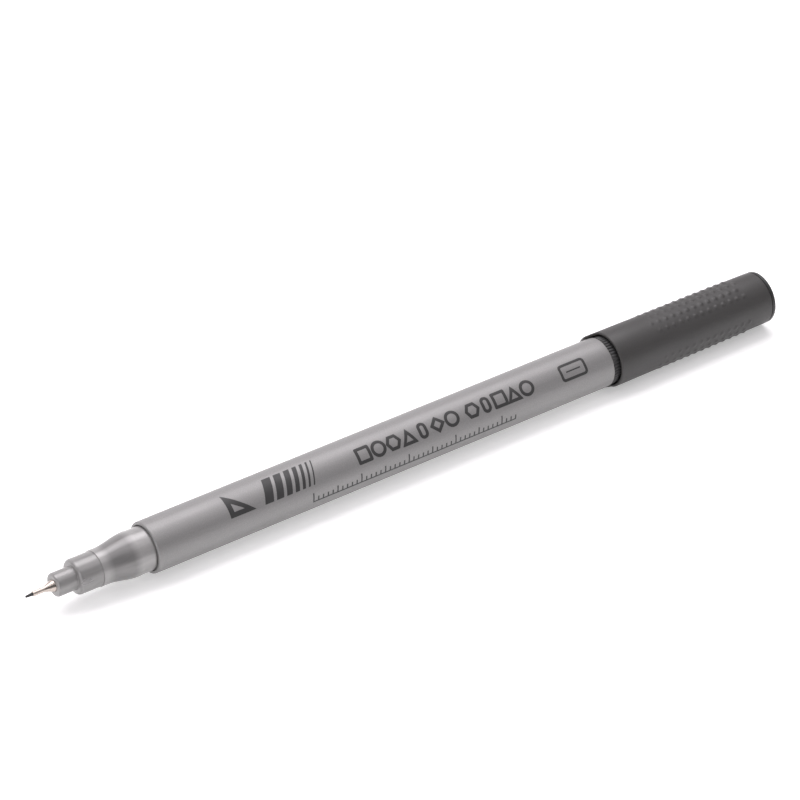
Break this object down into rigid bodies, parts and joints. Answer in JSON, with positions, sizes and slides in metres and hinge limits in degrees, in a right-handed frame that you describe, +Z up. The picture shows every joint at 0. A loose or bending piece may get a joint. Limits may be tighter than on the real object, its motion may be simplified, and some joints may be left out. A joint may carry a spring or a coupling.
{
  "type": "technical pen",
  "caption": "Fibre-tip technical drawing pen with a metal guide tube, a stepped translucent nose, a round barrel and a clip cap posted on its tail.",
  "frame": {"origin": "bottom centre of the whole pen's box, where the lying pen meets the table", "axes": "+X along the pen from the nib to the cap's closed end, +Y towards the clip's side, +Z up"},
  "size_m": [0.1568, 0.0134, 0.0103],
  "materials": {
    "barrel_silver": "satin, fine metallic flake",
    "nose_translucent": "translucent, satin",
    "tip_metal": "polished nickel",
    "nib_dark": "matte",
    "inked_fibre": "fibrous",
    "clear_film": "clear",
    "plug_dark": "satin",
    "cap_dark": "fine satin grain",
    "liner_grey": "natural moulded"
  },
  "bodies": {
    "pen_body": {"barrel": "barrel_silver", "front_section": "nose_translucent", "nib_holder": "nose_translucent", "tip_sleeve": "tip_metal", "nib": "nib_dark", "feed_wick": "inked_fibre", "ink_reservoir": "inked_fibre", "reservoir_film": "clear_film", "tail_plug": "plug_dark"},
    "cap": {"cap_shell": "cap_dark", "cap_liner": "liner_grey", "cap_end_plug": "plug_dark"},
    "clip": {"pocket_clip": "cap_dark"}
  },
  "joints": [
    {"name": "cap_slide", "type": "slide", "parent": "pen_body", "child": "cap", "axis": [1, 0, 0], "range_m": [0, 0.03]},
    {"name": "clip_flex", "type": "hinge", "parent": "cap", "child": "clip", "pos_m": [0.07683, 0.00331, 0.00312], "axis": [0, -0.3827, -0.9239], "range_deg": [0, 5], "stiffness_Nm_per_rad": 2}
  ]
}
